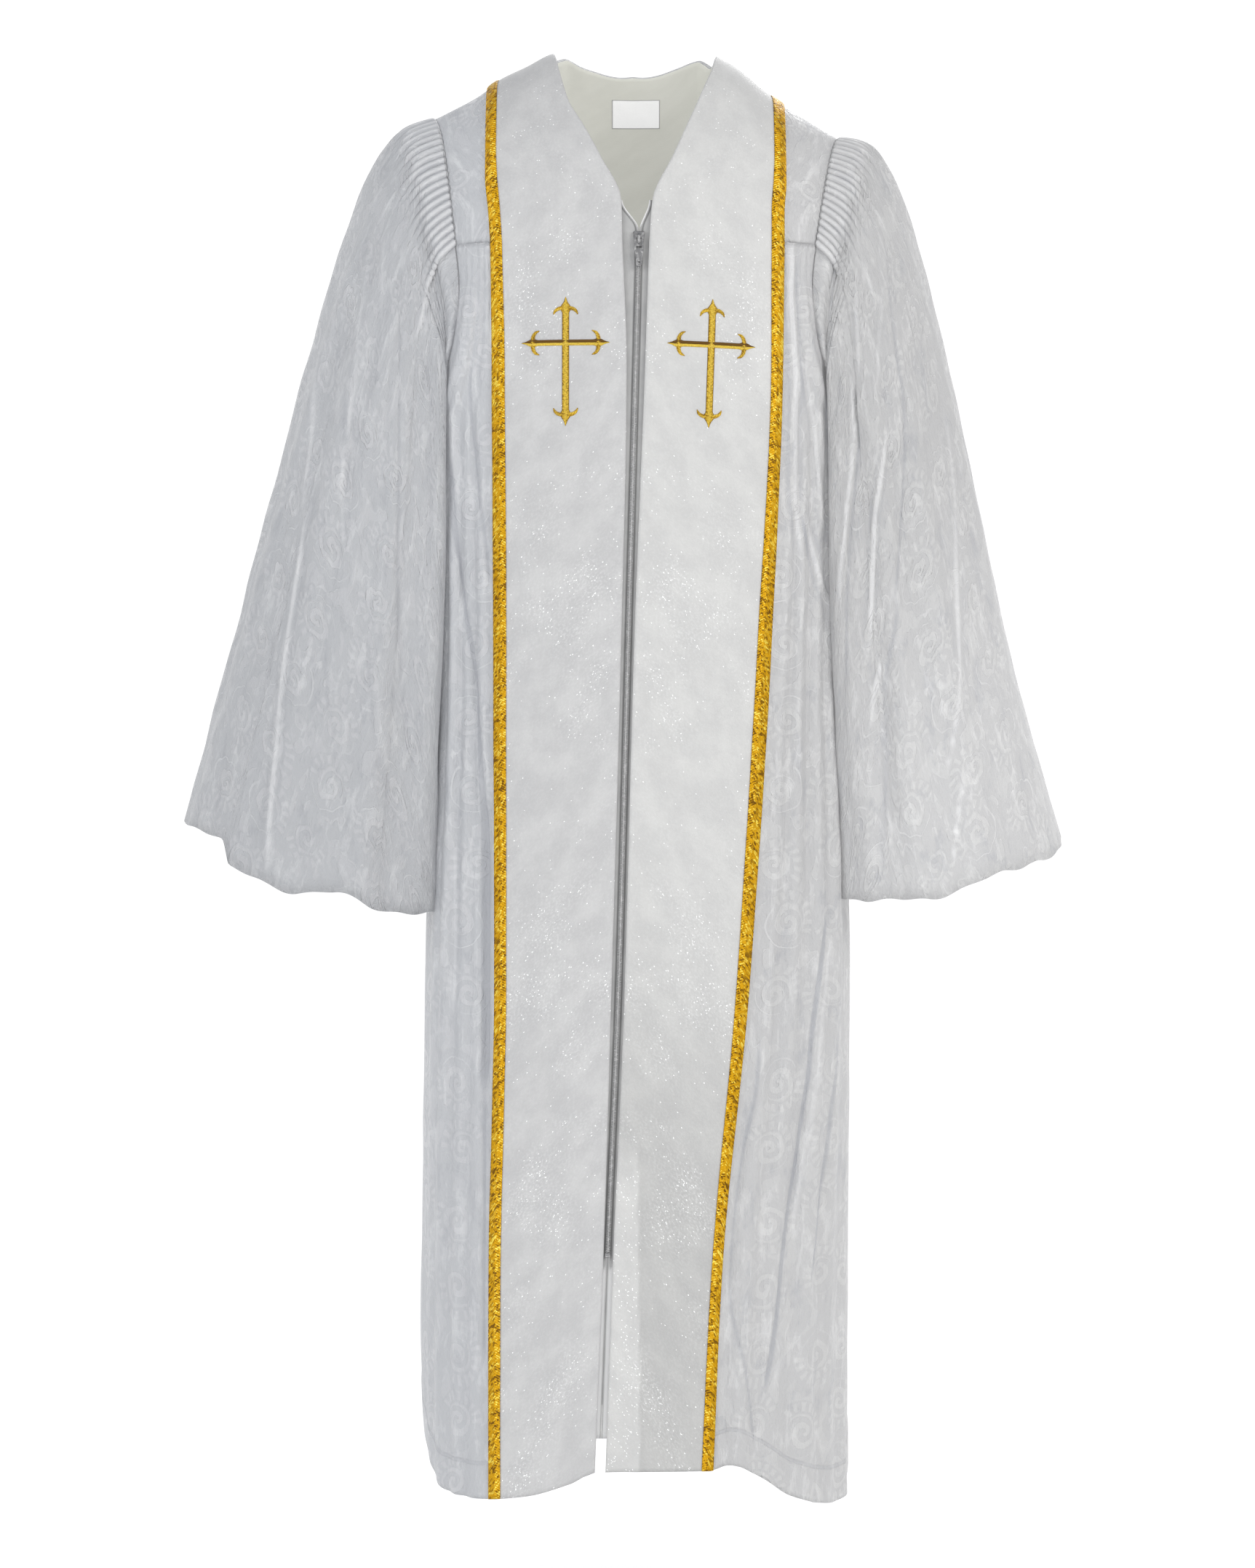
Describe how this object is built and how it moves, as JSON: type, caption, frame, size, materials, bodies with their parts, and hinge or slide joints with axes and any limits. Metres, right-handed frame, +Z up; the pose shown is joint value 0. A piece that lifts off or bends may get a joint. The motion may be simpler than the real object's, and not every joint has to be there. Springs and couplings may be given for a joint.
{
  "type": "pulpit robe",
  "caption": "Long open-necked pulpit robe with fluted bell sleeves, yokes, gold-edged glitter panels with crosses, and a front zip whose pull tab swings.",
  "frame": {"origin": "middle of the neck opening, at the height where the yokes rest on the wearer's shoulders", "axes": "+Z up, the front faces -Y, +X is the viewer's right as seen from the front"},
  "size_m": [0.8413, 0.3383, 1.3843],
  "materials": {
    "brocade": "satin",
    "glitter_cloth": "satin with fine glitter",
    "gold_braid": "metallic weave",
    "gold_thread": "satin stitch",
    "plain_lining": "matt",
    "label_satin": "satin",
    "zip_tape": "matt",
    "zip_metal": "polished"
  },
  "bodies": {
    "robe": {"front_left": "brocade", "front_right": "brocade", "back": "brocade", "front_yoke_left": "brocade", "front_yoke_right": "brocade", "back_yoke": "brocade", "sleeve_left": "brocade", "sleeve_right": "brocade", "back_lining": "plain_lining", "panel_left": "glitter_cloth", "panel_right": "glitter_cloth", "panel_back": "glitter_cloth", "braid_left": "gold_braid", "braid_right": "gold_braid", "braid_back": "gold_braid", "cross_left": "gold_thread", "cross_right": "gold_thread", "label": "label_satin", "zip_tape_left": "zip_tape", "zip_tape_right": "zip_tape", "zip_chain": "zip_metal", "zip_stop": "zip_metal", "zip_slider": "zip_metal"},
    "pull_tab": {"zip_pull": "zip_metal"}
  },
  "joints": [
    {"name": "pull_tab_hinge", "type": "hinge", "parent": "robe", "child": "pull_tab", "pos_m": [0.00549, -0.11466, -0.1697], "axis": [-1, 0, 0], "range_deg": [0, 165]}
  ]
}
